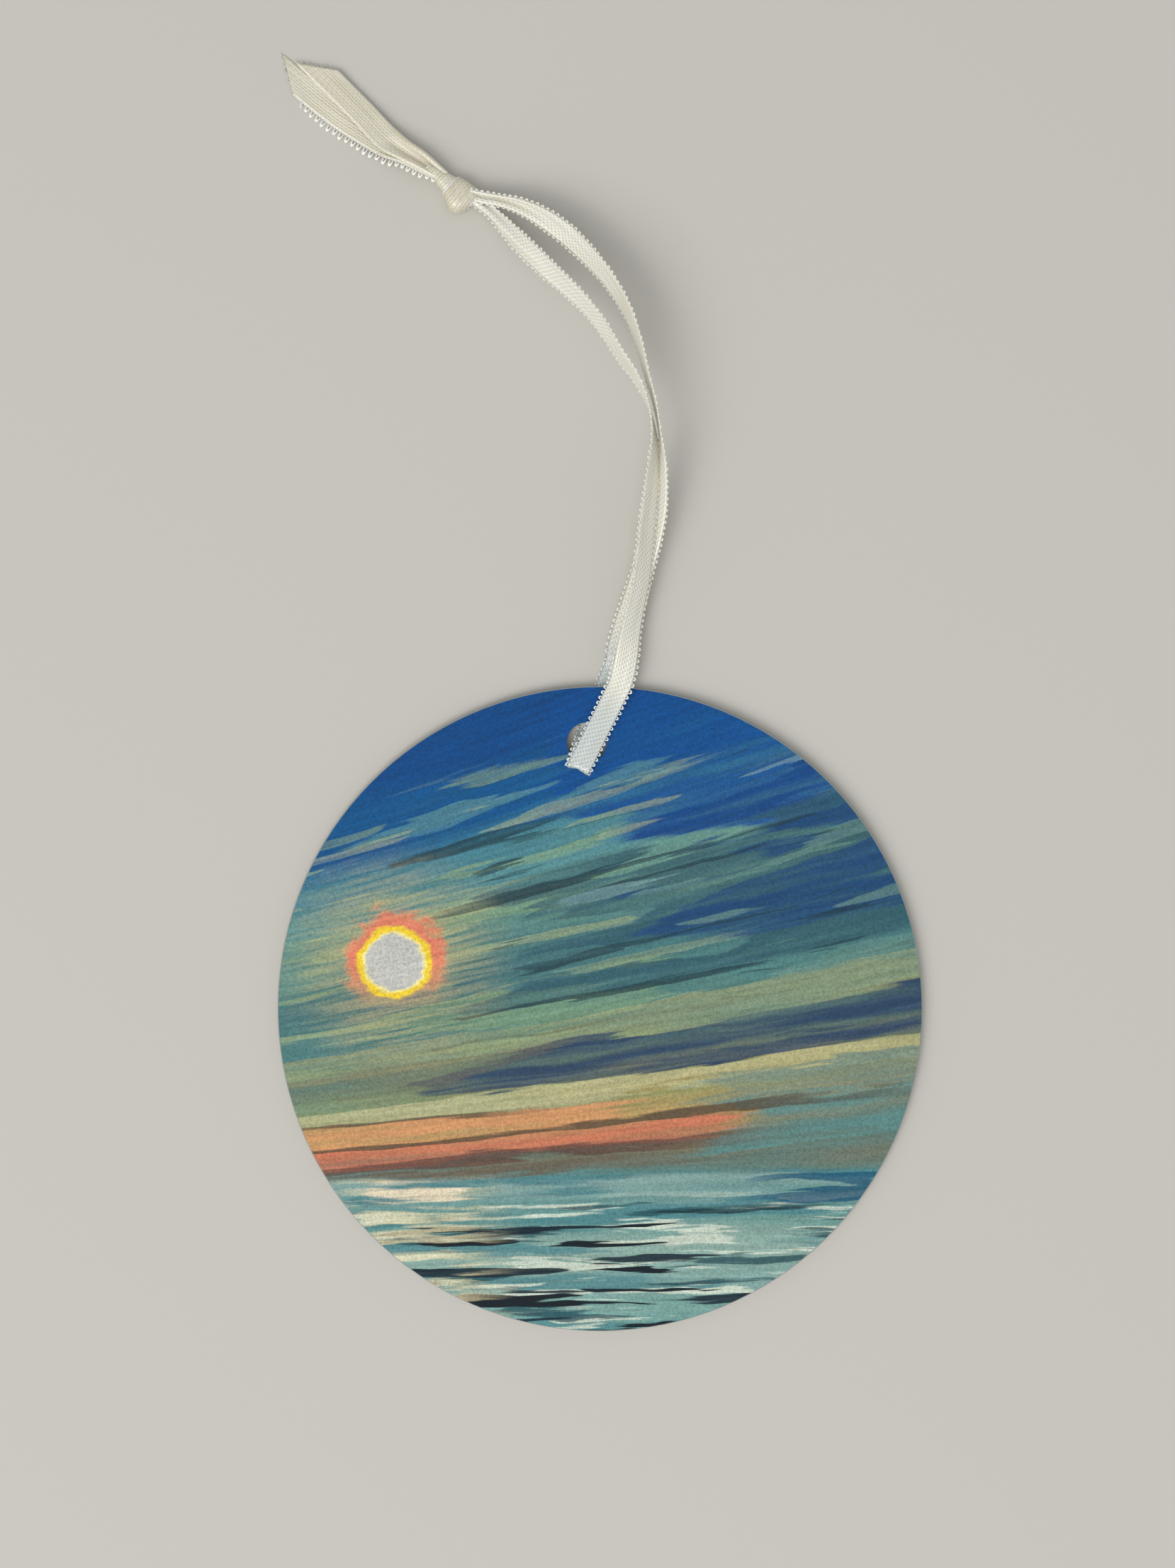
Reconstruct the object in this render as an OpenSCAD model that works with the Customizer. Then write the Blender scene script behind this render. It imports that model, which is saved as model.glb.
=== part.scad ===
// Round printed ornament disc with a narrow ribbon looped through its hole and tied in an overhand knot.
// The disc lies face up. The origin is under its centre, on the surface it lies on. The hole is towards +Y.

/* [Disc] */
// Diameter of the disc
disc_d = 76.2; // [60:0.1:90]
// Thickness of the sheet between the two coatings
core_t = 0.94; // [0.8:0.02:1.4]
// Thickness of the coating on each face
coat_t = 0.1; // [0.06:0.01:0.14]
// Width of the break on the sheet's edges
edge_break = 0.12; // [0.05:0.01:0.2]
// Diameter of the ribbon hole
hole_d = 4.7; // [4.4:0.1:6]
// Distance from the disc's centre to the hole's centre
hole_y = 31.5; // [30:0.1:33]

/* [Ribbon] */
// Width of the ribbon
ribbon_w = 3.3; // [2.5:0.1:3.4]
// Thickness of the ribbon
ribbon_t = 0.25; // [0.15:0.01:0.26]
// Angle between the run over the disc and +Y, clockwise from above
run_angle = 29.4; // [25:0.1:31]

/* [Knot] */
// Radius of the rounded ends of the knot
knot_r = 1.45; // [1.2:0.05:1.5]
// Half of the knot's flat width
knot_half_w = 0.45; // [0.2:0.05:0.6]

/* [Hidden] */
$fn = 96;

// The disc stands one ribbon thickness and a small gap above the surface, because the ribbon passes under it.
under_gap = 0.1;
disc_z = ribbon_t + under_gap;
core_z = disc_z + coat_t;
print_z = core_z + core_t;
coat_r = disc_d / 2 - edge_break;
cut = 1;

// Directions along and across the ribbon where it crosses the disc
along = [sin(run_angle), cos(run_angle), 0];
across = [cos(run_angle), -sin(run_angle), 0];
up = [0, 0, 1];

// Runs on the disc: distance along the run from the hole's centre, distance across it, height.
// The front run comes in over the rim, folds under itself past the hole and goes down into it.
front_run = [[10.2, 0.1, 1.60], [9.4, 0.3, 1.85], [8.4, 0.4, 1.95], [6, 0.5, 1.96], [2, 0.5, 1.96],
             [-2, 0.5, 1.96], [-3.1, 0.5, 1.94], [-3.3, 0.5, 1.81], [-3.1, 0.4, 1.68],
             [-2, 0.3, 1.66], [-1.2, 0.2, 1.66], [-0.7, 0.1, 1.45], [0, 0, 0.9]];
// The back run leaves the hole under the disc and comes out under the rim.
back_run = [[0, 0, 0.9], [0.7, -0.1, 0.35], [1.3, -0.2, 0.15], [4, -0.4, 0.15], [7, -0.7, 0.15],
            [9.4, -0.9, 0.15], [10.2, -1, 0.55]];

// Strands of the loop and the tails: x, y, height, lean of the left edge above the right, width factor.
// Past a lean of 90 degrees the ribbon has turned over.
front_strand = [[5.4, 42.4, 1.5, 12, 1], [6, 45.2, 2.9, 36, 1], [7.3, 50.2, 3.9, 44, 1],
                [8.5, 57.9, 5.3, 50, 1], [9.3, 63, 6, 62, 1], [9.6, 66.8, 6.4, 78, 1],
                [9.1, 70.1, 6.6, 90, 1], [7.9, 73.2, 6.7, 102, 1], [6.1, 76.1, 6.6, 108, 1],
                [4.4, 79.3, 6.2, 112, 1], [2.6, 82, 5.7, 116, 1], [0.4, 84.6, 5, 123, 1],
                [-2.2, 87.4, 4, 131, 1], [-4.8, 90.2, 3.1, 138, 0.9], [-6.8, 92.6, 2.3, 140, 0.7],
                [-8.4, 94.5, 1.7, 140, 0.5], [-9.3, 95.3, 1.5, 140, 0.5]];
back_strand = [[4.4, 42.4, 0.7, -5, 1], [5.4, 45.4, 1, -10, 1], [7.2, 50.3, 1.7, -24, 1],
               [9.7, 57.9, 3.6, -48, 1], [10.3, 63, 5.1, -66, 1], [10.3, 66.8, 5.9, -86, 1],
               [9.8, 70.6, 6.4, -84, 1], [9, 74.1, 6.7, -81, 1], [8.4, 77.3, 6.7, -78, 1],
               [7.2, 81.2, 6.5, -71, 1], [5.3, 84.9, 6, -62, 1], [3.1, 88, 5.2, -52, 1],
               [0.5, 91, 4.3, -43, 1], [-2.2, 93.4, 3.5, -38, 0.85], [-4.8, 95, 2.8, -38, 0.65],
               [-7.2, 95.9, 2.3, -40, 0.5], [-9.2, 96.4, 2.1, -40, 0.5]];
upper_tail = [[-16.3, 101.2, 1.4, 0, 0.7], [-17.9, 102.3, 1.25, 0, 0.8], [-20, 104, 1, 0, 1],
              [-23.2, 107.7, 0.7, 0, 1], [-27.9, 113, 0.55, 0, 1]];
lower_tail = [[-16.4, 101, 0.95, 0, 0.7], [-17.8, 102, 0.75, 0, 0.8], [-20.4, 103.5, 0.45, 0, 1],
              [-25.4, 107, 0.2, 0, 1], [-31.4, 112.3, 0.15, 0, 1]];
// How much further each tail's long edge reaches than its centre line, left edge positive
upper_tail_slant = 2.2;
lower_tail_slant = -2;

knot_ends = [[-9.9, 95.6], [-14.1, 99.2]];
knot_z = knot_r + 0.05;

// Ribbon section, a thin rectangle with broken edges. Each point: place across in half widths, height in half
// thicknesses, and by how many edge breaks it is moved across.
ribbon_section = [[-1, -0.5, 0], [-1, -1, 1], [1, -1, -1], [1, -0.5, 0],
                  [1, 0.5, 0], [1, 1, -1], [-1, 1, 1], [-1, 0.5, 0]];
ribbon_edge_break = ribbon_t / 4;
sides = len(ribbon_section);

function unit(v) = v / norm(v);
function tangent(path, i) = unit(path[min(i + 1, len(path) - 1)] - path[max(i - 1, 0)]);
function on_run(p) = [0, hole_y, 0] + p[0] * along + p[1] * across + p[2] * up;
function place(p) = [p[0], p[1], p[2]];
function left_of(t) = unit(cross(up, t));
function leaning(t, lean) = cos(lean) * left_of(t) + sin(lean) * cross(t, left_of(t));

// Point k of the section of a ribbon of this width: how far across and how far above its middle
function section_point(k, width) =
    let (corner = ribbon_section[k])
    [corner[0] * width / 2 + corner[2] * ribbon_edge_break, corner[1] * ribbon_t / 2];

// The section's points at one place on the path, on the side direction w; slant shifts them along the path
function ring(p, t, w, width, slant) =
    let (side = unit(w - (w * t) * t), face = cross(t, side))
    [for (k = [0:sides - 1])
        let (s = section_point(k, width))
        p + s[0] * side + s[1] * face + slant * (2 * s[0] / width) * t];

// Above and below, the walls are split along the same diagonal, so a twisted ribbon keeps its thickness
module sweep(rings) {
    last = len(rings) - 1;
    points = [for (r = rings) each r];
    walls = [for (i = [0:last - 1], k = [0:sides - 1])
        let (a = i * sides + k, b = i * sides + (k + 1) % sides)
        each k < sides / 2 ? [[a, b, b + sides], [a, b + sides, a + sides]]
                           : [[a, b, a + sides], [b, b + sides, a + sides]]];
    start = [for (k = [sides - 1:-1:0]) k];
    end = [for (k = [0:sides - 1]) last * sides + k];
    polyhedron(points = points, faces = concat(walls, [start, end]), convexity = 6);
}

module run_ribbon(run) {
    path = [for (p = run) on_run(p)];
    sweep([for (i = [0:len(path) - 1]) ring(path[i], tangent(path, i), across, ribbon_w, 0)]);
}

module free_ribbon(route, end_slant = 0) {
    path = [for (p = route) place(p)];
    last = len(path) - 1;
    sweep([for (i = [0:last])
        let (t = tangent(path, i))
        ring(path[i], t, leaning(t, route[i][3]), ribbon_w * route[i][4], i == last ? end_slant : 0)]);
}

module with_hole() {
    difference() {
        children();
        translate([0, hole_y, -cut]) cylinder(h = print_z + coat_t + 2 * cut, d = hole_d);
    }
}

module disc_core() {
    color("silver") with_hole() translate([0, 0, core_z]) rotate_extrude()
        polygon([[0, 0], [coat_r, 0], [disc_d / 2, edge_break], [disc_d / 2, core_t - edge_break],
                 [coat_r, core_t], [0, core_t]]);
}

module front_print() {
    color("teal") with_hole() translate([0, 0, print_z]) cylinder(h = coat_t, r = coat_r);
}

module back_coating() {
    color("white") with_hole() translate([0, 0, disc_z]) cylinder(h = coat_t, r = coat_r);
}

module ribbon_front_run() {
    color("ivory") run_ribbon(front_run);
}

module ribbon_back_run() {
    color("ivory") run_ribbon(back_run);
}

module loop_front_strand() {
    color("ivory") free_ribbon(front_strand);
}

module loop_back_strand() {
    color("ivory") free_ribbon(back_strand);
}

module knot() {
    turn = atan2(knot_ends[1][1] - knot_ends[0][1], knot_ends[1][0] - knot_ends[0][0]);
    color("ivory") hull() for (e = knot_ends, side = [-knot_half_w, knot_half_w])
        translate([e[0], e[1], knot_z]) rotate(turn) translate([0, side, 0]) sphere(r = knot_r, $fn = 32);
}

module tail_upper() {
    color("ivory") free_ribbon(upper_tail, upper_tail_slant);
}

module tail_lower() {
    color("ivory") free_ribbon(lower_tail, lower_tail_slant);
}

disc_core();
front_print();
back_coating();
ribbon_front_run();
ribbon_back_run();
loop_front_strand();
loop_back_strand();
knot();
tail_upper();
tail_lower();
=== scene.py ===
"""Looks of the round printed ornament with its ribbon loop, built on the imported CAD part.

Lengths in the tables are millimetres and are turned into metres by MM. The frame is the part's own:
the disc lies face up, its centre is above the origin and the ribbon hole is towards +Y.
"""

import math
import random

import bpy
import numpy as np
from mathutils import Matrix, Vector


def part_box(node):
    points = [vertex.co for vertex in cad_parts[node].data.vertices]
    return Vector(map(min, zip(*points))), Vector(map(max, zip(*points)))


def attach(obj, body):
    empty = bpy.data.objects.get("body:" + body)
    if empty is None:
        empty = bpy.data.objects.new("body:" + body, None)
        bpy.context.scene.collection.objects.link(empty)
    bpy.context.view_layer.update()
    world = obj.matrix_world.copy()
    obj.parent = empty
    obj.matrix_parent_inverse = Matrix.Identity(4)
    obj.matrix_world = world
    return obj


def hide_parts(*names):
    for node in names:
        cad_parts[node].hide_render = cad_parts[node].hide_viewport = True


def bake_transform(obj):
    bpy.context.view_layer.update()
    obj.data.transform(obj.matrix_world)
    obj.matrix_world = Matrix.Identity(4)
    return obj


MM = 0.001
UP = np.array([0.0, 0.0, 1.0])

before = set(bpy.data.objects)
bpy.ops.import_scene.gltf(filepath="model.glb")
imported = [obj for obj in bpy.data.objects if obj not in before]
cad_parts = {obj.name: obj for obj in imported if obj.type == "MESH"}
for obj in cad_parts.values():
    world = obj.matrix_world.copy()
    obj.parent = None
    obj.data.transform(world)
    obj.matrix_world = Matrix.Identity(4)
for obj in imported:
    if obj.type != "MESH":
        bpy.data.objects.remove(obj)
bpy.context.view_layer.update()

# ---------------------------------------------------------------- sizes of the part, as in part.scad
hole_y = 31.5
ribbon_w = 3.3
run_angle = math.radians(29.4)
along = np.array([math.sin(run_angle), math.cos(run_angle), 0])
across = np.array([math.cos(run_angle), -math.sin(run_angle), 0])
disc_low, disc_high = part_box("front_print")
disc_r = (disc_high.x - disc_low.x) / 2

# Runs on the disc: distance along the run from the hole's centre, distance across it, height
front_run = [[10.2, 0.1, 1.60], [9.4, 0.3, 1.85], [8.4, 0.4, 1.95], [6, 0.5, 1.96], [2, 0.5, 1.96],
             [-2, 0.5, 1.96], [-3.1, 0.5, 1.94], [-3.3, 0.5, 1.81], [-3.1, 0.4, 1.68],
             [-2, 0.3, 1.66], [-1.2, 0.2, 1.66], [-0.7, 0.1, 1.45], [0, 0, 0.9]]
back_run = [[0, 0, 0.9], [0.7, -0.1, 0.35], [1.3, -0.2, 0.15], [4, -0.4, 0.15], [7, -0.7, 0.15],
            [9.4, -0.9, 0.15], [10.2, -1, 0.55]]
# Strands of the loop and the tails: x, y, height, lean of the left edge above the right, width factor.
# Past a lean of 90 degrees the ribbon has turned over.
front_strand = [[5.4, 42.4, 1.5, 12, 1], [6, 45.2, 2.9, 36, 1], [7.3, 50.2, 3.9, 44, 1],
                [8.5, 57.9, 5.3, 50, 1], [9.3, 63, 6, 62, 1], [9.6, 66.8, 6.4, 78, 1],
                [9.1, 70.1, 6.6, 90, 1], [7.9, 73.2, 6.7, 102, 1], [6.1, 76.1, 6.6, 108, 1],
                [4.4, 79.3, 6.2, 112, 1], [2.6, 82, 5.7, 116, 1], [0.4, 84.6, 5, 123, 1],
                [-2.2, 87.4, 4, 131, 1], [-4.8, 90.2, 3.1, 138, 0.9], [-6.8, 92.6, 2.3, 140, 0.7],
                [-8.4, 94.5, 1.7, 140, 0.5], [-9.3, 95.3, 1.5, 140, 0.5]]
back_strand = [[4.4, 42.4, 0.7, -5, 1], [5.4, 45.4, 1, -10, 1], [7.2, 50.3, 1.7, -24, 1],
               [9.7, 57.9, 3.6, -48, 1], [10.3, 63, 5.1, -66, 1], [10.3, 66.8, 5.9, -86, 1],
               [9.8, 70.6, 6.4, -84, 1], [9, 74.1, 6.7, -81, 1], [8.4, 77.3, 6.7, -78, 1],
               [7.2, 81.2, 6.5, -71, 1], [5.3, 84.9, 6, -62, 1], [3.1, 88, 5.2, -52, 1],
               [0.5, 91, 4.3, -43, 1], [-2.2, 93.4, 3.5, -38, 0.85], [-4.8, 95, 2.8, -38, 0.65],
               [-7.2, 95.9, 2.3, -40, 0.5], [-9.2, 96.4, 2.1, -40, 0.5]]
upper_tail = [[-16.3, 101.2, 1.4, 0, 0.7], [-17.9, 102.3, 1.25, 0, 0.8], [-20, 104, 1, 0, 1],
              [-23.2, 107.7, 0.7, 0, 1], [-27.9, 113, 0.55, 0, 1]]
lower_tail = [[-16.4, 101, 0.95, 0, 0.7], [-17.8, 102, 0.75, 0, 0.8], [-20.4, 103.5, 0.45, 0, 1],
              [-25.4, 107, 0.2, 0, 1], [-31.4, 112.3, 0.15, 0, 1]]
upper_tail_slant = 2.2
lower_tail_slant = -2

# ---------------------------------------------------------------- camera, floor and light
scene = bpy.context.scene
scene.view_settings.view_transform = "Standard"


def point(x, y, z):
    return Vector((x * MM, y * MM, z * MM))


def add_camera(place, turn, lens):
    """A camera that looks straight down and is turned about its own line of sight by turn degrees."""
    data = bpy.data.cameras.new("camera")
    data.sensor_width = 36
    data.lens = lens
    data.clip_start = 0.01
    camera = bpy.data.objects.new("camera", data)
    scene.collection.objects.link(camera)
    camera.location = place
    camera.rotation_euler = (0, 0, math.radians(turn))
    scene.camera = camera


def add_floor(half):
    """A plain matte square at z = 0, half metres from its middle to its sides."""
    mesh = bpy.data.meshes.new("floor")
    corners = [(-half, -half, 0), (half, -half, 0), (half, half, 0), (-half, half, 0)]
    mesh.from_pydata(corners, [], [(0, 1, 2, 3)])
    floor = bpy.data.objects.new("floor", mesh)
    scene.collection.objects.link(floor)
    material = bpy.data.materials.new("floor_matte")
    material.use_nodes = True
    shader = material.node_tree.nodes["Principled BSDF"]
    shader.inputs["Base Color"].default_value = (0.535, 0.518, 0.478, 1)
    shader.inputs["Roughness"].default_value = 0.95
    shader.inputs["Specular IOR Level"].default_value = 0.1
    mesh.materials.append(material)


def add_light(name, azimuth, elevation, distance, size, power, colour):
    """A square soft light that faces the middle of the ornament. Azimuth runs from +X towards +Y."""
    data = bpy.data.lights.new(name, "AREA")
    data.size = size
    data.energy = power
    data.color = colour
    light = bpy.data.objects.new(name, data)
    scene.collection.objects.link(light)
    a, e = math.radians(azimuth), math.radians(elevation)
    direction = Vector((math.cos(a) * math.cos(e), math.sin(a) * math.cos(e), math.sin(e)))
    light.location = lit_place + direction * distance
    light.rotation_euler = (-direction).to_track_quat("-Z", "Y").to_euler()


def add_world(strength, colour):
    world = bpy.data.worlds.new("studio")
    world.use_nodes = True
    background = world.node_tree.nodes["Background"]
    background.inputs["Color"].default_value = (*colour, 1)
    background.inputs["Strength"].default_value = strength
    scene.world = world


lit_place = point(0, 40, 0)
add_camera(point(-0.16, 26.58, 300), turn=-2.856, lens=58.05)
add_floor(half=1.5)
add_light("key", azimuth=222, elevation=46, distance=1.5, size=0.85, power=8.3, colour=(1.0, 0.975, 0.94))
add_light("overhead", azimuth=241, elevation=66, distance=1.5, size=1.0, power=7.6, colour=(1.0, 0.99, 0.97))
add_world(strength=0.56, colour=(0.97, 0.99, 1.0))

# ---------------------------------------------------------------- ribbon geometry
step = 0.25  # between rows along a ribbon
half_w = ribbon_w / 2
half_t = 0.1  # half of the satin's thickness
selvedge_t = 0.115  # the same beside its edges
edge_t = 0.05  # the same at its edges
satin_share = 0.8  # the satin's share of the ribbon's width; loops along its edges take up the rest
loop_pitch = 0.68  # from one loop to the next
loop_half = 0.2  # half of a loop's length along the ribbon
loop_foot = 0.74  # where a loop starts across the ribbon, as a share of the half width
loop_reach = 0.94  # how far out it goes, likewise
loop_spread = 0.12  # how much the reach differs from loop to loop
loop_lift = 0.06  # how far a loop's tip may stand above or below the satin
loop_segments = 8
crowded = 0.7  # tips closer than this share of the pitch are crowded
thread_r = 0.12  # at a loop's tip
thread_thin = 0.4  # the thread's share of that at a loop's feet
pulled_loops = {"reach": 1.12, "pitch": 0.82, "spread": 0.25, "radius": 0.18}  # loops pulled out of a tail
fray_r = 0.035  # radius of a loose thread at a cut end
fray_count = 26
tail_press = 1.15  # the satin lies this much wider on the tails than on the loop
pleats = 3  # across the ribbon where it closes up towards the knot
cut_zone = 4  # a slanted cut shifts the weave over this last stretch
lowest = 0.02  # the ribbon lies on the floor and no lower
tie_start = 200  # places in the weave from here on belong to the tails and the knot
disc_end = 13  # and those up to here to the run over the disc
# Places across the ribbon, in half widths. The outermost ones lie past the satin and only guide the loops.
stations = [-1.6, *np.linspace(-satin_share, satin_share, 17), 1.6]


def unit(v):
    return v / np.linalg.norm(v)


def smooth_rows(rows, spacing, samples=6000):
    """The rows of a smooth curve through the given ones, spacing apart. The first three columns are the
    place."""
    rows = np.array(rows, float)
    gap = np.sqrt(np.linalg.norm(np.diff(rows[:, :3], axis=0), axis=1))
    knots = np.concatenate([[0], np.cumsum(gap)])
    rate = np.diff(rows, axis=0) / gap[:, None]
    share = (gap[1:] / (gap[:-1] + gap[1:]))[:, None]
    slope = np.vstack([rate[:1], rate[:-1] * share + rate[1:] * (1 - share), rate[-1:]])
    fine = np.linspace(0, knots[-1], samples)
    i = np.clip(np.searchsorted(knots, fine, "right") - 1, 0, len(gap) - 1)
    s = ((fine - knots[i]) / gap[i])[:, None]
    h = gap[i][:, None]
    curve = ((2 * s**3 - 3 * s**2 + 1) * rows[i] + (s**3 - 2 * s**2 + s) * h * slope[i]
             + (3 * s**2 - 2 * s**3) * rows[i + 1] + (s**3 - s**2) * h * slope[i + 1])
    length = np.concatenate([[0], np.cumsum(np.linalg.norm(np.diff(curve[:, :3], axis=0), axis=1))])
    at = np.linspace(0, length[-1], max(2, round(length[-1] / spacing)) + 1)
    return np.stack([np.interp(at, length, curve[:, c]) for c in range(curve.shape[1])], axis=1)


def run_rows(run):
    """Place, width direction and width factor at each point of a run on the disc."""
    centre = np.array([0, hole_y, 0])
    return [[*(centre + s * along + side * across + z * UP), *(-across), 1] for s, side, z in run]


def strand_rows(route):
    """The same for a strand, whose width direction leans about its own line."""
    places = np.array([p[:3] for p in route], float)
    rows = []
    for i, p in enumerate(route):
        t = unit(places[min(i + 1, len(route) - 1)] - places[max(i - 1, 0)])
        left = unit(np.cross(UP, t))
        lean = math.radians(p[3])
        rows.append([*places[i], *(math.cos(lean) * left + math.sin(lean) * np.cross(t, left)), p[4]])
    return rows


def section(factor, samples=321):
    """Place of each station across the ribbon and above it, in half widths. The woven width stays the same
    while the ribbon closes up to factor of it in pleats."""
    swing = 2 * math.sqrt(max(0.0, 2 - 2 * math.sqrt(min(1.0, factor))))
    fine = np.linspace(stations[0], stations[-1], samples)
    angle = swing * np.cos(pleats * math.pi * (fine + 1) / 2)
    dx, dz = np.cos(angle), np.sin(angle)
    x = np.concatenate([[0], np.cumsum((dx[1:] + dx[:-1]) / 2 * np.diff(fine))])
    z = np.concatenate([[0], np.cumsum((dz[1:] + dz[:-1]) / 2 * np.diff(fine))])
    x -= np.interp(0, fine, x)
    z -= z.mean()
    return np.interp(stations, fine, x), np.interp(stations, fine, z)


def ribbon_grid(rows, cut_end=0.0, wave=None, pressed=1.0):
    """Middle surface of a ribbon along rows of place, width direction and width factor: a row of points for
    each of them. cut_end slides the left edge along the ribbon at its end, as a slanted cut does, and
    pressed is how much wider the satin lies than on the loop."""
    places, sides, factors = rows[:, :3], rows[:, 3:6], rows[:, 6]
    spacing = np.linalg.norm(rows[1, :3] - rows[0, :3])
    tangents = np.gradient(places, axis=0)
    u = np.array(stations)
    grid = []
    for i in range(len(rows)):
        t = unit(tangents[i])
        side = unit(sides[i] - np.dot(sides[i], t) * t)
        face = np.cross(t, side)
        x, z = section(factors[i])
        slide = cut_end * max(0.0, 1 - (len(rows) - 1 - i) * spacing / cut_zone)
        ripple = wave(i * spacing, u) if wave else 0 * u
        grid.append(places[i] + (x * half_w * pressed)[:, None] * side + (z * half_w + ripple)[:, None] * face
                    + (u / satin_share * slide)[:, None] * t)
    return np.array(grid)


def surface_normals(grid):
    normals = np.cross(np.gradient(grid, axis=0), np.gradient(grid, axis=1))
    return normals / np.linalg.norm(normals, axis=2, keepdims=True)


def on_surface(grid, row, u):
    """The value of a grid at a fractional row and at u half widths from the middle."""
    row = min(max(row, 0.0), len(grid) - 1.001)
    share = row - int(row)
    line = grid[int(row)] * (1 - share) + grid[int(row) + 1] * share
    return np.array([np.interp(u, stations, line[:, c]) for c in range(3)])


class Woven:
    """A piece of ribbon while it is put together from satin and threads. Each point has its place in the
    weave, in millimetres across the ribbon and along it from start."""

    def __init__(self, seed=0, start=0.0):
        self.draw = random.Random(seed)
        self.start = start
        self.points = []
        self.places = []
        self.faces = []

    def add(self, points, places, faces):
        first = len(self.points)
        self.points += [tuple(p) for p in points]
        self.places += [(u, self.start + v) for u, v in places]
        self.faces += [tuple(first + k for k in face) for face in faces]

    def satin(self, grid, spacing):
        """The satin between the edge loops."""
        normals = surface_normals(grid)[:, 1:-1]
        body = grid[:, 1:-1]
        n, m = body.shape[:2]
        half = np.full(m, half_t)
        half[[1, -2]] = selvedge_t
        half[[0, -1]] = edge_t
        offset = normals * half[None, :, None]
        points = np.stack([body + offset, body - offset], axis=1).reshape(-1, 3)
        places = [((u + 1) * half_w, i * spacing)
                  for i in range(n) for _ in range(2) for u in stations[1:-1]]

        def index(i, layer, k):
            return (i * 2 + layer) * m + k

        faces = []
        right, end = m - 1, n - 1
        for i in range(n - 1):
            for k in range(m - 1):
                faces.append((index(i, 0, k), index(i + 1, 0, k), index(i + 1, 0, k + 1), index(i, 0, k + 1)))
                faces.append((index(i, 1, k), index(i, 1, k + 1), index(i + 1, 1, k + 1), index(i + 1, 1, k)))
            faces.append((index(i, 1, 0), index(i + 1, 1, 0), index(i + 1, 0, 0), index(i, 0, 0)))
            faces.append((index(i, 1, right), index(i, 0, right),
                          index(i + 1, 0, right), index(i + 1, 1, right)))
        for k in range(m - 1):
            faces.append((index(0, 1, k), index(0, 0, k), index(0, 0, k + 1), index(0, 1, k + 1)))
            faces.append((index(end, 1, k), index(end, 1, k + 1), index(end, 0, k + 1), index(end, 0, k)))
        self.add(points, places, faces)

    def thread(self, line, facing, place, radius, sides=6):
        """A thread along line with closed ends. facing is a direction square to it, and radius is one number
        or one for each point."""
        line = np.array(line)
        points, faces = [], []
        for p, way, r in zip(line, np.gradient(line, axis=0), np.broadcast_to(radius, len(line))):
            first = unit(np.cross(way, facing))
            second = unit(np.cross(way, first))
            for k in range(sides):
                a = 2 * math.pi * k / sides
                points.append(p + r * (math.cos(a) * first + math.sin(a) * second))
        for i in range(len(line) - 1):
            for k in range(sides):
                a, b = i * sides + k, i * sides + (k + 1) % sides
                faces.append((a, b, b + sides, a + sides))
        faces.append(tuple(range(sides - 1, -1, -1)))
        faces.append(tuple(range((len(line) - 1) * sides, len(line) * sides)))
        self.add(points, [place] * len(points), faces)

    def edge_loops(self, grid, spacing, edge, reach=loop_reach, pitch=loop_pitch, spread=loop_spread,
                   radius=thread_r):
        """Small loops of thread along the satin's left edge, 1, or its right one, -1. Each is thickest at
        its tip. Loops are left out where a slanted cut crowds them."""
        normals = surface_normals(grid)
        length = (len(grid) - 1) * spacing
        last_tip = np.full(3, np.inf)
        for i in range(int((length - 2 * loop_half) / pitch) + 1):
            at = loop_half + i * pitch
            far = loop_foot + (reach - loop_foot) * self.draw.uniform(1 - spread, 1 + spread)
            lift = self.draw.uniform(-loop_lift, loop_lift)
            line, radii = [], []
            for j in range(loop_segments + 1):
                turn = math.sin(math.pi * j / loop_segments)
                row = (at - loop_half * math.cos(math.pi * j / loop_segments)) / spacing
                u = edge * (loop_foot + (far - loop_foot) * turn)
                line.append(on_surface(grid, row, u) + lift * turn * on_surface(normals, row, u))
                radii.append(radius * (thread_thin + (1 - thread_thin) * turn**2))
            tip = line[loop_segments // 2]
            if np.linalg.norm(tip - last_tip) < crowded * pitch:
                continue
            last_tip = tip
            facing = on_surface(normals, at / spacing, edge * loop_foot)
            self.thread(line, facing, ((edge * far + 1) * half_w, at), radii)

    def frayed_end(self, grid, spacing):
        """Loose ends of warp thread past the cut at the end of the ribbon."""
        normals = surface_normals(grid)
        last = len(grid) - 1
        for _ in range(fray_count):
            u = self.draw.uniform(-satin_share, satin_share)
            start = on_surface(grid, last, u)
            way = unit(start - on_surface(grid, last - 2, u))
            normal = on_surface(normals, last, u)
            side = np.cross(normal, way) * self.draw.uniform(-0.5, 0.5)
            reach = self.draw.uniform(0.15, 0.6)
            line = [start - 0.3 * way, start, start + reach * (0.5 * way + 0.1 * side),
                    start + reach * (way + side)]
            self.thread(line, normal, ((u + 1) * half_w, last * spacing), fray_r, sides=4)

    def make(self, name):
        points = np.array(self.points)
        points[:, 2] = np.maximum(points[:, 2], lowest)
        mesh = bpy.data.meshes.new(name)
        mesh.from_pydata((points * MM).tolist(), [], self.faces)
        layer = mesh.uv_layers.new(name="weave")
        corner_vertex = np.zeros(len(mesh.loops), int)
        mesh.loops.foreach_get("vertex_index", corner_vertex)
        layer.data.foreach_set("uv", np.array(self.places, np.float32)[corner_vertex].ravel())
        mesh.polygons.foreach_set("use_smooth", [True] * len(mesh.polygons))
        mesh.update()
        obj = bpy.data.objects.new(name, mesh)
        scene.collection.objects.link(obj)
        return obj


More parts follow.
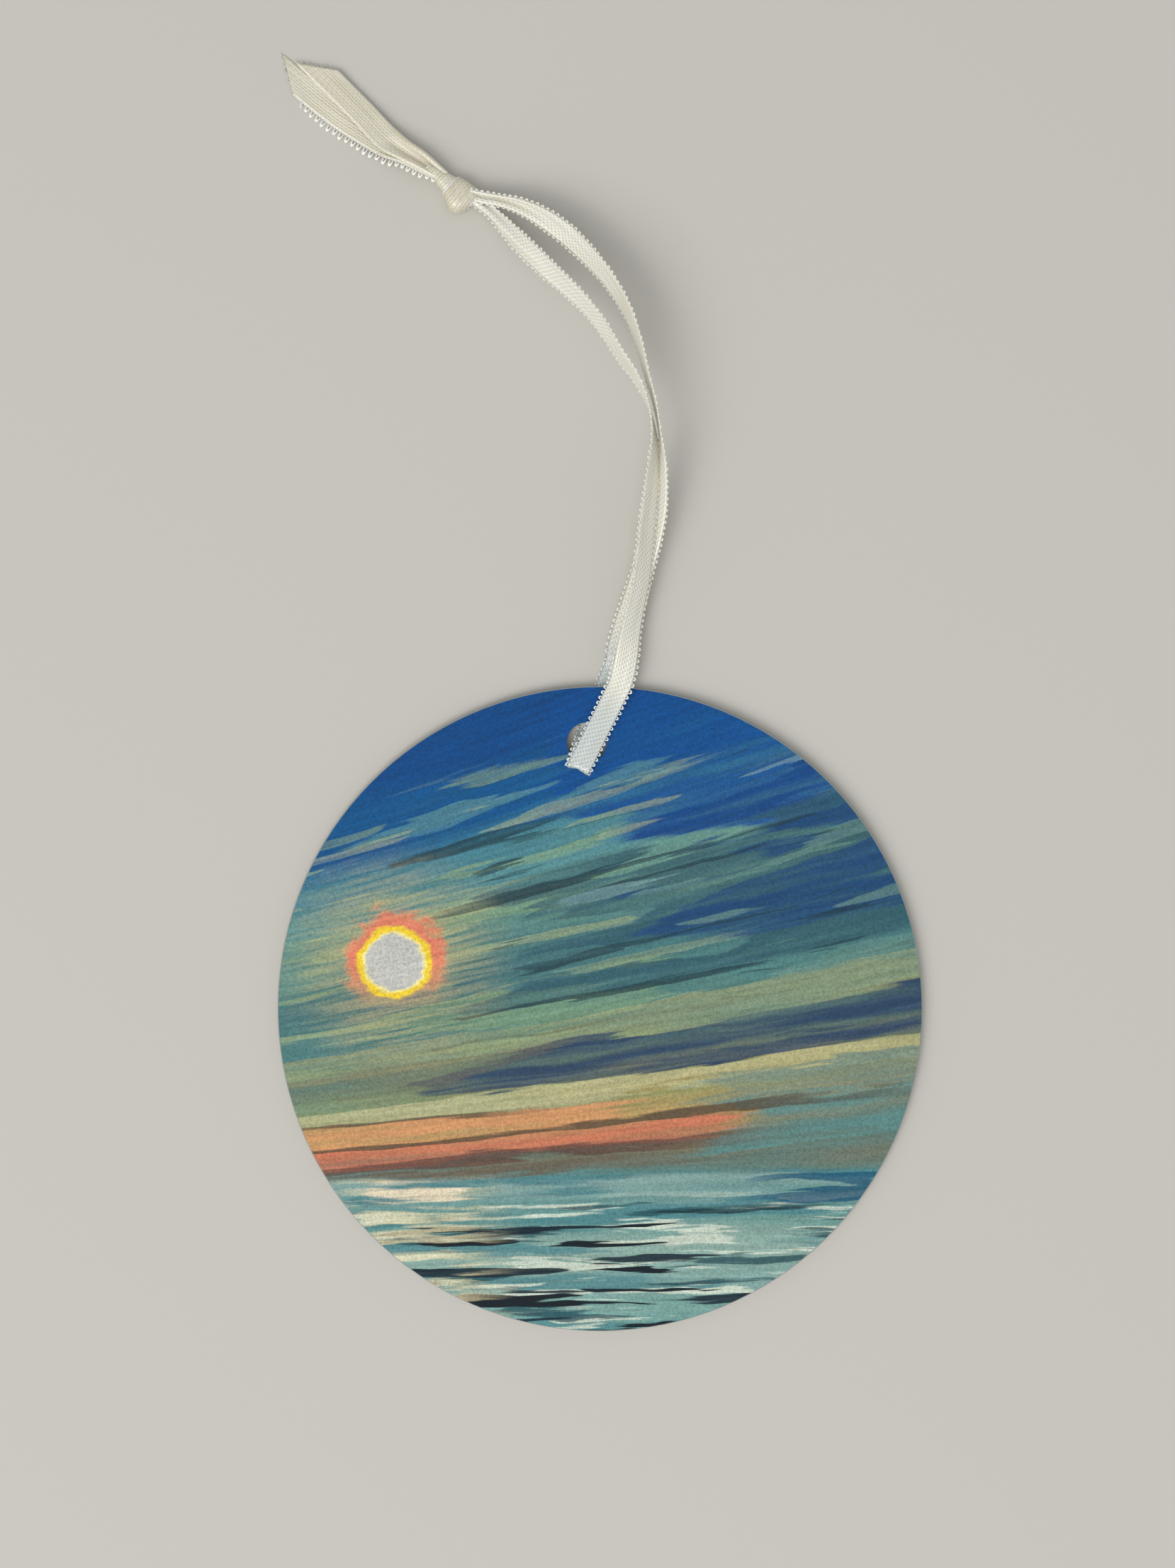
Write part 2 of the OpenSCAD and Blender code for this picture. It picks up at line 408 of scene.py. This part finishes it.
# The front ribbon starts in the hole, folds over itself and goes out over the rim, and the back one goes
# under it. Near the rim the front one lifts off the disc in one soft bend, in place of the points there.
rim_points = 4  # so many points of the front run are left out
front_lift = [[6, 0.5, 2.12], [8.4, 0.4, 2.35]]
front_in_knot = [-10.6, 96.4, 1.4, 140, 0.4]
back_in_knot = [-10.5, 97, 1.7, -40, 0.4]
front_rows = smooth_rows(run_rows(front_run[rim_points:][::-1] + front_lift)
                         + strand_rows(front_strand + [front_in_knot])[1:], step)
back_rows = smooth_rows(run_rows(back_run) + strand_rows(back_strand + [back_in_knot]), step)


def add_strand(name, rows, nodes, seed):
    """One strand of the loop with its run on the disc, which bends up at the rim into the loop."""
    woven = Woven(seed)
    grid = ribbon_grid(rows)
    woven.satin(grid, step)
    for edge in (1, -1):
        woven.edge_loops(grid, step, edge)
    strand = woven.make(name)
    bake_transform(strand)
    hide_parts(*nodes)
    return strand


ribbon_front = add_strand("ribbon_front", front_rows, ("ribbon_front_run", "loop_front_strand"), seed=1)
ribbon_back = add_strand("ribbon_back", back_rows, ("ribbon_back_run", "loop_back_strand"), seed=2)

# ---------------------------------------------------------------- tails
tail_in_knot = [-13.4, 98.9, 1.4, 0, 0.4]


def tail_wave(phase, height=0.05, wavelength=11, slant=0.45, calm=3, growth=12):
    """Slight slanted ripples along a tail, which start after its calm stretch and grow over the next one."""
    def ripple(length, u):
        grow = min(1.0, max(0.0, (length - calm) / growth))
        return height * grow * np.sin(2 * math.pi * (u * slant + length / wavelength + phase))
    return ripple


def add_tail(name, route, slant, node, pulled, seed):
    """A tail of ribbon that comes out of the knot, follows route and is cut off at a slant. It is pressed
    flat and shows no loops, unless those of its left edge are pulled out."""
    woven = Woven(seed, tie_start)
    rows = smooth_rows(strand_rows([tail_in_knot] + route), step)
    grid = ribbon_grid(rows, cut_end=slant, wave=tail_wave(seed / 4), pressed=tail_press)
    woven.satin(grid, step)
    if pulled:
        woven.edge_loops(grid, step, 1, **pulled_loops)
    woven.frayed_end(grid, step)
    tail = woven.make(name)
    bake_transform(tail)
    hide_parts(node)
    return tail


tail_upper = add_tail("ribbon_tail_upper", upper_tail, upper_tail_slant, "tail_upper", pulled=False, seed=3)
tail_lower = add_tail("ribbon_tail_lower", lower_tail, lower_tail_slant, "tail_lower", pulled=True, seed=4)

# ---------------------------------------------------------------- knot
# The knot has a straight side towards +X and +Y, and a lobe on the other side.
knot_start = np.array([-14.17, 100.19, 0])
knot_way = np.array([0.834, -0.552, 0])
knot_out = np.array([-0.552, -0.834, 0])
knot_low = 0.15  # height of its underside
knot_square = 0.72  # 1 makes its section an ellipse, and less makes it squarer
# Distance along the straight side, where the skin starts and ends across it, height
knot_profile = smooth_rows([[s, 0, 0, inner, outer, high] for s, inner, outer, high in (
    (-1.4, 0.0, 1.3, 1.6), (-0.5, 0.0, 1.4, 1.75), (0.4, 0, 1.6, 1.85), (1.4, -0.06, 1.95, 1.95),
    (2.5, -0.12, 2.5, 2.05), (3.3, -0.14, 3.1, 2.2), (4.0, -0.12, 3.45, 2.3), (4.7, -0.08, 3.15, 2.2),
    (5.6, 0, 2.0, 1.8), (6.3, 0.1, 1.0, 1.3), (7, 0.15, 0.8, 1.0))], 0.05)
# The two turns of ribbon that show: place along the knot, swing to and fro, and how far out they lie
knot_turns = ((0.7, 0.3, -0.08), (4.15, 0.35, 0.12))
turn_spread = 2.1  # how far half a ribbon reaches along the knot
turn_rows = 44
turn_start, turn_sweep = -120, 380  # degrees round the knot, from the lobe's side
tuck_rows = 4  # rows at both ends of a turn that are tucked in underneath
tuck_depth = 0.35  # how deep the outermost of them lies
cord_r = 0.11  # radius of the cord along a turn's edges
core_start, core_length = -1.2, 8  # along the straight side


def flat(value):
    """A sine or cosine that makes an ellipse squarer."""
    return math.copysign(abs(value) ** knot_square, value)


def knot_point(s, angle, grow=0.0):
    """A point on the knot's skin: s along its straight side, angle round it from the lobe's side, grow
    outwards."""
    inner, outer, high = (np.interp(s, knot_profile[:, 0], knot_profile[:, c]) for c in (3, 4, 5))
    middle = knot_start + s * knot_way + (inner + outer) / 2 * knot_out + (high / 2 + knot_low) * UP
    half = (outer - inner) / 2 + grow
    return middle + flat(math.cos(angle)) * half * knot_out + flat(math.sin(angle)) * (high / 2 + grow) * UP


def knot_grid(middle, swing, grow):
    """Middle surface of one turn of ribbon round the knot, whose place along it swings to and fro."""
    rows = []
    for i in range(turn_rows + 1):
        angle = math.radians(turn_start + turn_sweep * i / turn_rows)
        s = middle - swing * math.cos(angle)
        tuck = tuck_depth * max(0.0, 1 - min(i, turn_rows - i) / tuck_rows)
        rows.append([knot_point(s + u * turn_spread, angle, grow - tuck) for u in stations])
    return np.array(rows)


def add_knot_wrap():
    """A slim turn at the tails' end and a thick one beside it, which makes the lobe. Both have corded
    edges."""
    woven = Woven(start=tie_start)
    for middle, swing, grow in knot_turns:
        grid = knot_grid(middle, swing, grow)
        woven.satin(grid, step)
        normals = surface_normals(grid)
        for column in (1, -2):
            woven.thread(grid[:, column], normals[len(grid) // 2, column], (0, 0), cord_r)
    return woven.make("knot_wrap")


def add_knot_core():
    """The bundle of ribbon inside the turns: a pleated spindle that closes the knot at both ends."""
    around, rings = 48, 33
    points, places, faces = [], [], []
    for i in range(rings):
        s = core_start + core_length * i / (rings - 1)
        middle = (knot_point(s, 0) + knot_point(s, math.pi)) / 2
        for k in range(around):
            a = 2 * math.pi * k / around
            pleat = 0.90 + 0.04 * math.cos(7 * a + s) + 0.02 * math.cos(11 * a - s)
            points.append(middle + pleat * (knot_point(s, a) - middle))
            places.append((k * ribbon_w * 2 / around, i * step))
    for i in range(rings - 1):
        for k in range(around):
            j = (k + 1) % around
            faces.append((i * around + k, (i + 1) * around + k, (i + 1) * around + j, i * around + j))
    faces.append(tuple(range(around)))
    faces.append(tuple(range(rings * around - 1, (rings - 1) * around - 1, -1)))
    woven = Woven(start=tie_start)
    woven.add(points, places, faces)
    return woven.make("knot_core")


knot_wrap = add_knot_wrap()
knot_core = add_knot_core()
for piece in (knot_wrap, knot_core):
    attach(piece, "loop")
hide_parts("knot")


# ---------------------------------------------------------------- materials
class Graph:
    """A material's node tree. Its methods add nodes and return their outputs, and set fills in the shader."""

    def __init__(self, name):
        self.material = bpy.data.materials.new(name)
        self.material.use_nodes = True
        self.tree = self.material.node_tree
        self.shader = self.tree.nodes["Principled BSDF"]

    def add(self, kind, inputs, output=0, **settings):
        node = self.tree.nodes.new(kind)
        for key, value in settings.items():
            setattr(node, key, value)
        for key, value in inputs.items():
            if isinstance(value, bpy.types.NodeSocket):
                self.tree.links.new(value, node.inputs[key])
            else:
                node.inputs[key].default_value = value
        return node.outputs[output]

    def math(self, operation, *values):
        return self.add("ShaderNodeMath", dict(enumerate(values)), operation=operation)

    def place(self):
        return self.add("ShaderNodeTexCoord", {}, output="Object")

    def uv(self):
        return self.add("ShaderNodeUVMap", {}, uv_map="weave")

    def split(self, vector):
        node = self.tree.nodes.new("ShaderNodeSeparateXYZ")
        self.tree.links.new(vector, node.inputs[0])
        return node.outputs[0], node.outputs[1], node.outputs[2]

    def join(self, x, y, z=0.0):
        return self.add("ShaderNodeCombineXYZ", {0: x, 1: y, 2: z})

    def noise(self, vector, scale, detail=2.0, roughness=0.5):
        return self.add("ShaderNodeTexNoise", {"Vector": vector, "Scale": scale, "Detail": detail,
                                               "Roughness": roughness})

    def step(self, value, low, high):
        """0 below low and 1 above high, or the other way round when low is the larger."""
        if low > high:
            return self.math("SUBTRACT", 1.0, self.step(value, high, low))
        return self.add("ShaderNodeMapRange", {0: value, 1: low, 2: high}, interpolation_type="SMOOTHSTEP")

    def band(self, value, centre, half, soft):
        """1 within half of centre, falling to 0 over soft on both sides."""
        distance = self.math("ABSOLUTE", self.math("SUBTRACT", value, centre))
        return self.step(distance, half + soft, half)

    def product(self, *factors):
        result = factors[0]
        for factor in factors[1:]:
            result = self.math("MULTIPLY", result, factor)
        return result

    def mix(self, factor, a, b, blend="MIX"):
        """a where factor is 0 and b where it is 1. Inputs 6 and 7 are the Mix node's two colours."""
        colours = {6: a if isinstance(a, bpy.types.NodeSocket) else (*a, 1),
                   7: b if isinstance(b, bpy.types.NodeSocket) else (*b, 1)}
        return self.add("ShaderNodeMix", {0: factor, **colours}, output=2, data_type="RGBA", blend_type=blend)

    def ramp(self, value, stops):
        node = self.tree.nodes.new("ShaderNodeValToRGB")
        self.tree.links.new(value, node.inputs[0])
        elements = node.color_ramp.elements
        while len(elements) < len(stops):
            elements.new(0.5)
        for element, (position, colour) in zip(elements, stops):
            element.position = position
            element.color = (*colour, 1)
        return node.outputs[0]

    def bump(self, height, distance, strength):
        return self.add("ShaderNodeBump", {"Height": height, "Distance": distance, "Strength": strength})

    def set(self, **inputs):
        names = {"colour": "Base Color", "roughness": "Roughness", "normal": "Normal", "metallic": "Metallic",
                 "specular": "Specular IOR Level", "ior": "IOR", "anisotropic": "Anisotropic",
                 "sheen": "Sheen Weight", "sheen_roughness": "Sheen Roughness",
                 "subsurface": "Subsurface Weight", "scatter": "Subsurface Scale",
                 "radius": "Subsurface Radius"}
        for key, value in inputs.items():
            socket = self.shader.inputs[names[key]]
            if isinstance(value, bpy.types.NodeSocket):
                self.tree.links.new(value, socket)
            else:
                socket.default_value = value


def srgb(red, green, blue):
    """A colour given as 0 to 255 on screen, in the linear numbers that shaders take."""
    return tuple(c / 12.92 if c <= 0.04045 else ((c + 0.055) / 1.055) ** 2.4
                 for c in (red / 255, green / 255, blue / 255))


def ribbon_material():
    """Ivory satin: fine warp threads along the ribbon, short staggered ties, and plain loops beside it."""
    g = Graph("ivory_satin")
    thread_pitch, tie_pitch, stagger = 0.27, 0.6, 0.38
    u, v, _ = g.split(g.uv())
    column = g.math("DIVIDE", u, thread_pitch)
    threads = g.math("MULTIPLY_ADD", g.math("COSINE", g.math("MULTIPLY", column, 2 * math.pi)), 0.5, 0.5)
    row = g.math("MULTIPLY_ADD", g.math("FLOOR", column), stagger, g.math("DIVIDE", v, tie_pitch))
    tie = g.product(g.band(g.math("FRACT", column), 0.5, 0.14, 0.25),
                    g.band(g.math("FRACT", row), 0.5, 0.14, 0.2))
    half_satin = satin_share * half_w
    satin = g.step(g.math("ABSOLUTE", g.math("SUBTRACT", u, half_w)), half_satin, half_satin - 0.1)
    # The tails and the knot have weaker ties and are a little darker.
    tied = g.step(v, tie_start - 2, tie_start - 1)
    tie = g.product(tie, satin, g.math("MULTIPLY_ADD", tied, -0.5, 1.0))
    warp = g.noise(g.join(g.math("MULTIPLY", u, 5.0), g.math("MULTIPLY", v, 0.10)), 1.0, detail=3)
    patch = g.noise(g.join(g.math("MULTIPLY", u, 0.5), g.math("MULTIPLY", v, 0.12), 4.0), 1.0)
    streak = g.math("MULTIPLY", g.step(warp, 0.42, 0.62), g.math("MULTIPLY_ADD", tied, 0.2, 0.4))
    colour = g.mix(streak, srgb(233, 232, 224), srgb(211, 204, 180))
    colour = g.mix(g.math("MULTIPLY", g.step(patch, 0.45, 0.70), 0.30), colour, srgb(213, 208, 184))
    # Partly painted shade: the ties are a real weave pattern, and they are also painted darker to show the
    # shade in their dips.
    colour = g.mix(g.math("MULTIPLY", tie, 0.42), colour, srgb(150, 146, 130))
    # Painted light and shade: the loops' thread is painted paler than the satin to make up for the shade on
    # the thin threads, and duller along the loop's strands than on the run over the disc and on the tails.
    loop_strand_shade = g.product(g.step(v, disc_end, disc_end + 6), g.math("SUBTRACT", 1.0, tied))
    colour = g.mix(satin, g.mix(loop_strand_shade, srgb(240, 238, 229), srgb(222, 219, 206)), colour)
    # Painted light: the run over the disc is tinted cooler and a little dimmer, for the cool light it shows
    # there.
    colour = g.mix(g.step(v, disc_end + 3, disc_end - 3), colour, srgb(222, 232, 240), blend="MULTIPLY")
    colour = g.mix(g.product(tied, satin), colour, srgb(235, 231, 219), blend="MULTIPLY")
    height = g.math("ADD", g.math("MULTIPLY", g.math("SUBTRACT", threads, tie), satin),
                    g.math("MULTIPLY", warp, 1.2))
    g.set(colour=colour, roughness=0.42, normal=g.bump(height, 0.022 * MM, 0.8), specular=0.9, ior=1.75,
          anisotropic=0.4, sheen=0.1, sheen_roughness=0.4,
          subsurface=0.6, scatter=0.25 * MM, radius=(1.0, 0.88, 0.6))
    return g.material


def painting_material():
    """Printed face: a plain sunset over the sea in loose strokes, under a satin coat with a fine grain.
    Places and sizes are in shares of the disc's radius."""
    g = Graph("painted_print")
    place = g.add("ShaderNodeVectorMath", {0: g.place(), 1: (1 / disc_r,) * 3}, operation="MULTIPLY")
    x, y, _ = g.split(place)
    # Cloud streaks fan out upwards to the right, from one that is level this far below the middle. v is the
    # height at which a streak crosses the middle, and sea does the same for the sea's strokes.
    level = 0.65
    fan = g.math("EXPONENT", g.math("MULTIPLY", x, -0.2))
    v = g.math("SUBTRACT", g.math("MULTIPLY", g.math("ADD", y, level), fan), level)
    sea = g.math("MULTIPLY_ADD", x, 0.026, y)

    def strokes(along_scale, across_scale, seed, detail=3.0, height=v):
        """Long blobs like brush strokes along the streaks, from 0 to 1."""
        warp = g.noise(g.join(g.math("MULTIPLY", x, 4.0), g.math("MULTIPLY", height, 12.0), seed + 31.0), 1.0)
        shifted = g.math("MULTIPLY_ADD", warp, 0.03, height)
        across_part = g.math("MULTIPLY", shifted, across_scale)
        return g.noise(g.join(g.math("MULTIPLY", x, along_scale), across_part, seed), 1.0, detail=detail)

    def patches(along_scale, across_scale, seed, low, high, height=v):
        """The same with nothing below low and full strokes above high."""
        return g.step(strokes(along_scale, across_scale, seed, height=height), low, high)

    def varied(value, spread):
        """A value from 0 to 1 turned into one around 0."""
        return g.math("MULTIPLY_ADD", value, spread, -spread / 2)

    broad = strokes(0.7, 4.5, 2.0)
    fine = strokes(1.6, 20.0, 7.0)
    bristle = strokes(3.0, 70.0, 12.0, detail=4.0)
    ends = g.math("ADD", x, varied(strokes(0.9, 9.0, 27.0, detail=4.0), 1.3))
    thickness = g.math("MULTIPLY_ADD", g.step(strokes(1.4, 30.0, 33.0, detail=4.0), 0.30, 0.62), 0.5, 0.5)
    right = g.step(ends, -0.2, 0.5)
    left = g.step(ends, 0.1, -0.5)

    def layer(colour, paint, strength, *factors):
        """Paint over colour where all the factors are 1."""
        return g.mix(g.product(*factors, strength), colour, paint)

    def brushed(colour, paint, strength, *factors):
        """A layer whose edges break up into bristle lines, and whose paint is thin in places."""
        coverage = g.product(*factors)
        ragged = g.step(g.math("ADD", coverage, varied(bristle, 0.9)), 0.36, 0.68)
        return layer(colour, paint, strength, ragged, g.step(coverage, 0.02, 0.2), thickness)

    base = g.math("ADD", v, g.math("ADD", varied(broad, 0.36), varied(fine, 0.16)))
    colour = g.ramp(g.math("MULTIPLY_ADD", base, 0.5, 0.5), [
        (0.22, srgb(74, 134, 136)), (0.28, srgb(112, 112, 92)), (0.335, srgb(176, 150, 96)),
        (0.375, srgb(150, 148, 96)), (0.43, srgb(112, 138, 112)), (0.50, srgb(78, 126, 124)),
        (0.60, srgb(66, 112, 118)), (0.70, srgb(106, 150, 136)), (0.80, srgb(58, 122, 142)),
        (0.88, srgb(6, 84, 138)), (0.95, srgb(0, 70, 132))])

    # Deep blue along the top and at the upper right, with a few paler strokes
    blue = g.math("ADD", g.math("MULTIPLY_ADD", x, 0.26, v), g.math("MULTIPLY", broad, 0.36))
    colour = brushed(colour, srgb(0, 74, 142), 0.9, g.step(blue, 0.68, 0.80), g.step(ends, -0.25, 0.0))
    colour = brushed(colour, srgb(92, 146, 150), 0.6, patches(0.8, 9.0, 21.0, 0.54, 0.62),
                     g.band(v, 0.62, 0.14, 0.12), g.step(ends, 0.5, 0.0))
    colour = brushed(colour, srgb(8, 66, 128), 0.85, patches(0.7, 7.0, 25.0, 0.48, 0.56),
                     g.band(v, 0.52, 0.10, 0.08), right)
    # Pale and yellow-green strokes over the left of the sky
    colour = brushed(colour, srgb(130, 160, 120), 0.6, patches(0.9, 12.0, 3.5, 0.50, 0.60),
                     g.band(v, 0.35, 0.40, 0.2), g.step(ends, 0.35, -0.1))
    colour = brushed(colour, srgb(158, 172, 132), 0.5, patches(1.2, 17.0, 17.0, 0.55, 0.62),
                     g.band(v, 0.40, 0.30, 0.1), g.step(ends, 0.5, 0.1))
    # Slate and navy strokes over the right, and green and pale blue ones over them
    colour = brushed(colour, srgb(42, 84, 100), 0.8, patches(0.7, 8.0, 9.0, 0.44, 0.52),
                     g.band(v, 0.26, 0.17, 0.08), g.step(ends, -0.55, -0.2))
    colour = brushed(colour, srgb(22, 68, 116), 0.9, patches(0.7, 8.0, 14.0, 0.46, 0.54),
                     g.band(v, 0.28, 0.12, 0.08), right)
    colour = brushed(colour, srgb(26, 56, 66), 0.8, patches(0.9, 24.0, 5.0, 0.57, 0.62),
                     g.band(v, 0.25, 0.4, 0.1), g.step(ends, -0.55, -0.35))
    colour = brushed(colour, srgb(104, 142, 132), 0.65, patches(0.9, 15.0, 40.0, 0.52, 0.60),
                     g.band(v, 0.14, 0.2, 0.08), right)
    colour = brushed(colour, srgb(124, 158, 164), 0.5, patches(1.0, 18.0, 44.0, 0.57, 0.62),
                     g.band(v, 0.44, 0.12, 0.08), g.step(ends, -0.1, 0.2))

    # Navy streak with pale yellow above and below it, and grey-green on the right
    tilt = g.math("ADD", v, varied(fine, 0.10))
    colour = brushed(colour, srgb(158, 160, 112), 0.55,
                     g.band(tilt, -0.05, 0.03, 0.03), g.step(broad, 0.35, 0.5))
    colour = brushed(colour, srgb(34, 62, 96), 0.95,
                     g.band(tilt, -0.15, 0.05, 0.03), g.step(ends, -0.55, -0.2))
    colour = brushed(colour, srgb(112, 108, 86), 0.55,
                     g.band(tilt, -0.13, 0.04, 0.03), left)
    colour = brushed(colour, srgb(190, 186, 142), 0.7,
                     g.band(tilt, -0.245, 0.016, 0.025), g.step(broad, 0.3, 0.45))
    colour = brushed(colour, srgb(108, 134, 124), 0.85,
                     g.band(tilt, -0.30, 0.03, 0.02), g.step(ends, 0.0, 0.4))
    # Orange and coral bands over the horizon, which fade to the right into teal
    colour = brushed(colour, srgb(212, 148, 100), 0.9,
                     g.band(tilt, -0.315, 0.032, 0.02), g.step(ends, 0.45, -0.3))
    colour = brushed(colour, srgb(208, 118, 88), 0.9,
                     g.band(tilt, -0.395, 0.026, 0.02), g.step(ends, 0.85, -0.25))
    colour = brushed(colour, srgb(88, 134, 132), 0.9,
                     g.band(tilt, -0.40, 0.065, 0.03), g.step(ends, 0.1, 0.6))
    # Thin dark lines between them: height, half width, seed, paint, where from left to right
    for height, half, seed, paint, reach in (
            (-0.355, 0.007, 1.0, srgb(82, 68, 54), g.step(ends, 1.3, 0.3)),
            (-0.43, 0.010, 6.0, srgb(92, 68, 60), g.step(ends, 0.7, 0.0)),
            (-0.275, 0.005, 11.0, srgb(96, 84, 64), left),
            (-0.475, 0.018, 15.0, srgb(104, 94, 78), g.step(ends, 0.5, -0.1))):
        broken = g.step(g.noise(g.join(g.math("MULTIPLY", x, 2.0), seed), 1.0), 0.32, 0.46)
        colour = layer(colour, paint, 0.85, g.band(tilt, height, half, 0.008), broken, reach)

    # The sun's glow, its halo, which fades below it, its yellow ring and its core
    sun_place = (-0.63, 0.175, 0)
    sun = g.add("ShaderNodeVectorMath", {0: g.join(x, y), 1: sun_place}, output="Value", operation="DISTANCE")
    ray = varied(g.noise(g.join(x, g.math("MULTIPLY", y, 1.6), 3.0), 13.0, detail=4, roughness=0.65), 0.16)
    rough_sun = g.math("ADD", sun, ray)
    colour = layer(colour, srgb(190, 172, 118), 0.5, g.step(rough_sun, 0.42, 0.12), g.step(bristle, 0.3, 0.6))
    colour = layer(colour, srgb(226, 150, 104), 0.75, g.step(rough_sun, 0.18, 0.13), g.step(y, 0.02, 0.14))
    colour = layer(colour, srgb(228, 116, 96), 0.7, g.step(rough_sun, 0.165, 0.13), g.step(y, 0.08, 0.20))
    edge = g.math("MULTIPLY_ADD", ray, 0.30, sun)
    colour = layer(colour, srgb(240, 206, 50), 1.0, g.step(edge, 0.122, 0.108))
    colour = layer(colour, srgb(246, 234, 160), 1.0, g.step(edge, 0.102, 0.090))
    colour = layer(colour, srgb(193, 193, 187), 1.0, g.step(edge, 0.095, 0.082))

    # The sea, in short level strokes: mid blue, pale, and ever darker ones towards the lower edge
    wave_wide = strokes(1.2, 15.0, 51.0, height=sea)
    wave_short = strokes(2.4, 34.0, 60.0, height=sea)
    water = g.ramp(g.math("MULTIPLY_ADD", g.math("ADD", sea, varied(wave_wide, 0.24)), 2.0, 2.0), [
        (0.02, srgb(112, 158, 152)), (0.25, srgb(126, 162, 156)), (0.5, srgb(138, 168, 158)),
        (0.7, srgb(94, 142, 140)), (0.92, srgb(128, 160, 156)), (1.0, srgb(94, 130, 132))])
    near = g.step(sea, -0.56, -0.62)
    water = layer(water, srgb(66, 126, 134), 0.75, g.step(wave_wide, 0.50, 0.58))
    water = layer(water, srgb(204, 214, 198), 0.85, g.step(wave_short, 0.53, 0.59), near)
    water = layer(water, srgb(20, 74, 84), 0.85, patches(1.8, 24.0, 71.0, 0.56, 0.61, height=sea), near)
    water = layer(water, srgb(0, 20, 32), 1.0,
                  patches(1.3, 26.0, 83.0, 0.56, 0.58, height=sea), g.step(sea, -0.60, -0.66))
    water = layer(water, srgb(2, 32, 46), 0.95,
                  patches(1.0, 20.0, 88.0, 0.57, 0.60, height=sea), g.step(sea, -0.62, -0.68))
    water = layer(water, srgb(10, 82, 112), 0.85, patches(2.0, 30.0, 95.0, 0.50, 0.56, height=sea),
                  g.step(x, 0.3, 0.6), g.band(sea, -0.57, 0.05, 0.03))
    # Its light under the sun, strongest at the horizon
    water = layer(water, srgb(226, 214, 172), 0.55,
                  g.band(x, -0.6, 0.08, 0.25), g.step(wave_short, 0.46, 0.54))
    below_sun = g.product(g.band(x, -0.6, 0.05, 0.2), g.band(sea, -0.56, 0.02, 0.05))
    glint = g.math("ADD", below_sun, varied(bristle, 0.8))
    water = layer(water, srgb(230, 214, 186), 0.85, g.step(glint, 0.35, 0.7), g.step(wave_short, 0.40, 0.56))
    horizon = g.math("ADD", sea, varied(fine, 0.05))
    colour = g.mix(g.step(horizon, -0.505, -0.53), colour, water)

    # Bristle marks and grain of the print
    tone = g.math("MULTIPLY_ADD", bristle, 0.6, 0.64)
    colour = g.mix(1.0, colour, g.join(tone, tone, tone), blend="MULTIPLY")
    grain = g.noise(g.place(), 3600.0, detail=3, roughness=0.7)
    speckle = g.math("MULTIPLY_ADD", grain, 1.3, 0.33)
    colour = g.mix(1.0, colour, g.join(speckle, speckle, speckle), blend="MULTIPLY")
    peel = g.noise(g.place(), 2600.0)
    g.set(colour=colour, roughness=0.55, specular=0.18, normal=g.bump(peel, 0.02 * MM, 0.6))
    return g.material


def coating_material():
    """Plain white gloss coat with a faint orange peel."""
    g = Graph("white_coat")
    peel = g.noise(g.place(), 1400.0)
    cloud = g.math("MULTIPLY", g.noise(g.place(), 60.0, detail=3), 0.12)
    tone = g.mix(cloud, srgb(238, 238, 236), srgb(222, 224, 226))
    g.set(colour=tone, roughness=0.28, normal=g.bump(peel, 0.02 * MM, 0.5))
    return g.material


def metal_material():
    """Sheared and lightly rounded aluminium edge, with fine lines round the rim."""
    g = Graph("edge_aluminium")
    _, _, z = g.split(g.place())
    lines = g.noise(g.join(g.math("MULTIPLY", z, 9000.0), 0.0), 1.0, detail=3)
    tone = g.mix(lines, srgb(150, 158, 158), srgb(200, 206, 206))
    g.set(colour=tone, metallic=1.0, roughness=0.5, normal=g.bump(lines, 0.01 * MM, 0.4))
    return g.material


satin = ribbon_material()
for piece in (ribbon_front, ribbon_back, tail_upper, tail_lower, knot_wrap, knot_core):
    piece.data.materials.clear()
    piece.data.materials.append(satin)
for node, material in (("front_print", painting_material()), ("back_coating", coating_material()),
                       ("disc_core", metal_material())):
    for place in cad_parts[node].material_slots:
        place.material = material
